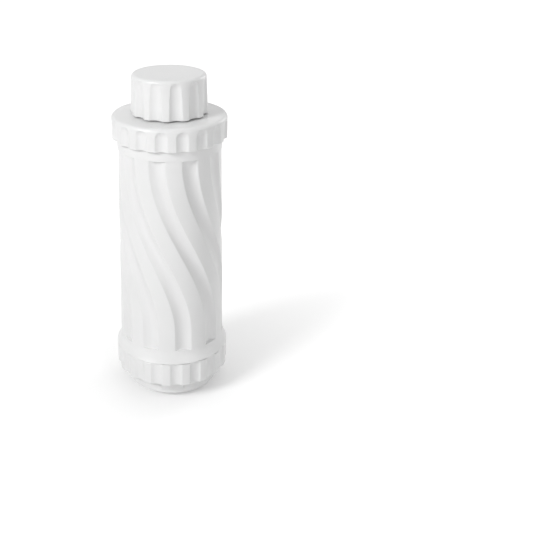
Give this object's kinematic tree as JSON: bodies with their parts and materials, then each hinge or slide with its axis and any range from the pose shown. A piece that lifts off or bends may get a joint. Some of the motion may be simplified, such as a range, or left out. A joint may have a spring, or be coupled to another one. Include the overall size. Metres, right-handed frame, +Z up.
{
  "type": "inline water filter",
  "caption": "Tall round inline water filter with wave-grooved housing, fluted screw caps at both ends, a capped hose inlet and a domed base with a sprung outlet valve.",
  "frame": {"origin": "on the filter's axis, at the flat face of the domed base on which it stands", "axes": "+Z up the filter's axis, from the outlet to the inlet cap; -Y is the side that the picture shows"},
  "size_m": [0.0604, 0.0604, 0.1718],
  "materials": {
    "body_plastic": "satin white moulded plastic with soft highlights",
    "cap_plastic": "satin white moulded plastic, a little brighter on the flutes' edges",
    "inner_plastic": "plain natural polypropylene",
    "seal_rubber": "matt black nitrile rubber",
    "stainless_steel": "drawn stainless steel",
    "filter_felt": "off-white needled filter felt",
    "carbon": "pressed black carbon with a fine grain"
  },
  "bodies": {
    "housing": {"housing": "body_plastic", "cartridge_spring": "stainless_steel", "upper_end_cap": "inner_plastic", "upper_block_gasket": "seal_rubber", "carbon_block": "carbon", "core_tube": "inner_plastic", "fleece_wrap": "filter_felt", "outer_net": "inner_plastic", "lower_block_gasket": "seal_rubber", "lower_end_cap": "inner_plastic", "upper_stub_o_ring": "seal_rubber", "lower_stub_o_ring": "seal_rubber"},
    "closure_seal": {"top_o_ring": "seal_rubber"},
    "closure": {"top_closure": "cap_plastic", "inlet_screen": "stainless_steel", "screen_clip": "inner_plastic", "sediment_pad": "filter_felt", "flow_spreader": "inner_plastic"},
    "inlet_seal": {"cap_seal": "seal_rubber"},
    "inlet_cap": {"inlet_cap": "cap_plastic"},
    "plug": {"outlet_plug": "body_plastic", "plug_o_ring": "seal_rubber", "slip_ring": "inner_plastic", "valve_seat": "inner_plastic", "outlet_tube": "body_plastic", "valve_spring": "stainless_steel"},
    "valve": {"valve_poppet": "inner_plastic", "poppet_seal": "seal_rubber"},
    "bottom_cap": {"bottom_cap": "cap_plastic"}
  },
  "joints": [
    {"name": "closure_lift", "type": "slide", "parent": "housing", "child": "closure_seal", "axis": [0, 0, 1], "range_m": [0, 0.0081]},
    {"name": "closure_turn", "type": "hinge", "parent": "closure_seal", "child": "closure", "pos_m": [0, 0, 0.145], "axis": [0, 0, 1], "range_deg": [0, 720]},
    {"name": "cap_lift", "type": "slide", "parent": "closure", "child": "inlet_seal", "axis": [0, 0, 1], "range_m": [0, 0.0089]},
    {"name": "cap_turn", "type": "hinge", "parent": "inlet_seal", "child": "inlet_cap", "pos_m": [0, 0, 0.16], "axis": [0, 0, 1], "range_deg": [0, 1440]},
    {"name": "bottom_drop", "type": "slide", "parent": "housing", "child": "plug", "axis": [0, 0, -1], "range_m": [0, 0.0061]},
    {"name": "bottom_turn", "type": "hinge", "parent": "plug", "child": "bottom_cap", "pos_m": [0, 0, 0.015], "axis": [0, 0, -1], "range_deg": [0, 720]},
    {"name": "valve_open", "type": "slide", "parent": "plug", "child": "valve", "axis": [0, 0, -1], "range_m": [0, 0.0025], "stiffness_N_per_m": 150, "springref_m": -0.002, "deforming": ["valve_spring"]}
  ],
  "couplings": [
    {"joint": "closure_lift", "follows": "closure_turn", "m_per_rad": 0.00063662},
    {"joint": "cap_lift", "follows": "cap_turn", "m_per_rad": 0.00035157},
    {"joint": "bottom_drop", "follows": "bottom_turn", "m_per_rad": 0.00047746}
  ]
}
